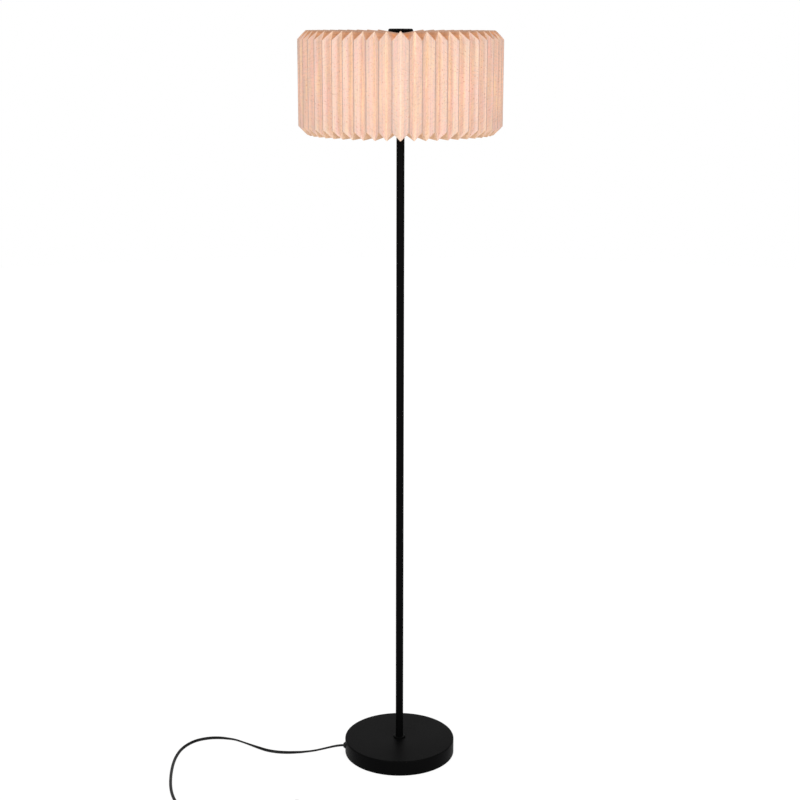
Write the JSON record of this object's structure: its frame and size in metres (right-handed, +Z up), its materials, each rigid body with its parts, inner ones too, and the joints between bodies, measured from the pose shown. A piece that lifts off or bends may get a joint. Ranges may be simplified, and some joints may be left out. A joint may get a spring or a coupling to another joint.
{
  "type": "floor lamp",
  "caption": "Floor lamp with a round weighted base, a slim pole and a drum shade of one pleated sheet, folded in at its top and foot and held by a round cap.",
  "frame": {"origin": "centre of the face that the lamp stands on, at floor level", "axes": "+Z up along the pole; -Y towards the viewer of the picture; the lead leaves the base towards -X"},
  "size_m": [0.6832, 0.5342, 1.5203],
  "materials": {
    "black_powder": "satin powder coat",
    "zinc_steel": "zinc plated",
    "cast_iron": "rough casting",
    "foam": "closed-cell foam",
    "black_plastic": "matt",
    "black_gloss": "half gloss",
    "black_flex": "smooth PVC",
    "ceramic": "unglazed",
    "brass": "bright",
    "opal": "opal, lit",
    "white_plastic": "smooth",
    "nickel": "nickel plated",
    "pleated_linen": "linen-textured pleated sheet, lit from inside"
  },
  "bodies": {
    "root": {"base_pad": "foam", "base_plate": "zinc_steel", "base_screws": "zinc_steel", "base_weight": "cast_iron", "base_cover": "black_powder", "base_nipple": "zinc_steel", "base_washer": "zinc_steel", "base_nut": "zinc_steel", "cord_grommet": "black_plastic", "inner_lead": "black_flex", "pole_collar": "black_powder", "pole_lower": "black_powder", "pole_middle": "black_powder", "pole_upper": "black_powder", "pole_nipples": "zinc_steel", "top_nipple": "zinc_steel", "harp_saddle": "black_powder", "holder_cap": "black_gloss", "holder_sleeve": "black_gloss", "terminal_block": "ceramic", "screw_shell": "brass", "centre_contact": "brass", "cord_run": "black_flex", "switch_base": "black_gloss", "switch_cover": "black_gloss", "switch_spring": "zinc_steel", "switch_block": "ceramic", "switch_screws": "zinc_steel", "switch_reliefs": "black_flex", "cord_link": "black_flex", "cord_coil": "black_flex", "cord_tie": "black_plastic", "cord_tail": "black_flex", "plug_body": "black_gloss", "plug_relief": "black_flex", "plug_pins": "nickel"},
    "bulb": {"bulb_globe": "opal", "bulb_collar": "white_plastic", "bulb_cap": "nickel", "bulb_contact": "nickel"},
    "harp": {"harp_bow": "black_powder", "harp_sleeves": "black_powder", "harp_seat": "zinc_steel"},
    "shade": {"shade_pleats": "pleated_linen", "shade_hub": "black_plastic", "hem_ring": "zinc_steel"},
    "cap": {"cap_disc": "black_powder", "cap_insert": "brass"},
    "button": {"switch_button": "black_plastic"}
  },
  "joints": [
    {"name": "bulb_out", "type": "slide", "parent": "root", "child": "bulb", "axis": [0, 0, 1], "range_m": [0, 0.022]},
    {"name": "harp_lift", "type": "slide", "parent": "root", "child": "harp", "axis": [0, 0, 1], "range_m": [0, 0.2]},
    {"name": "shade_lift", "type": "slide", "parent": "harp", "child": "shade", "axis": [0, 0, 1], "range_m": [0, 0.24]},
    {"name": "cap_turn", "type": "hinge", "parent": "shade", "child": "cap", "pos_m": [0, 0, 1.5173], "axis": [0, 0, 1], "continuous": true},
    {"name": "switch_press", "type": "slide", "parent": "root", "child": "button", "axis": [0, 0, -1], "range_m": [0, 0.003], "stiffness_N_per_m": 900, "springref_m": -0.002, "deforming": ["switch_spring"]}
  ]
}
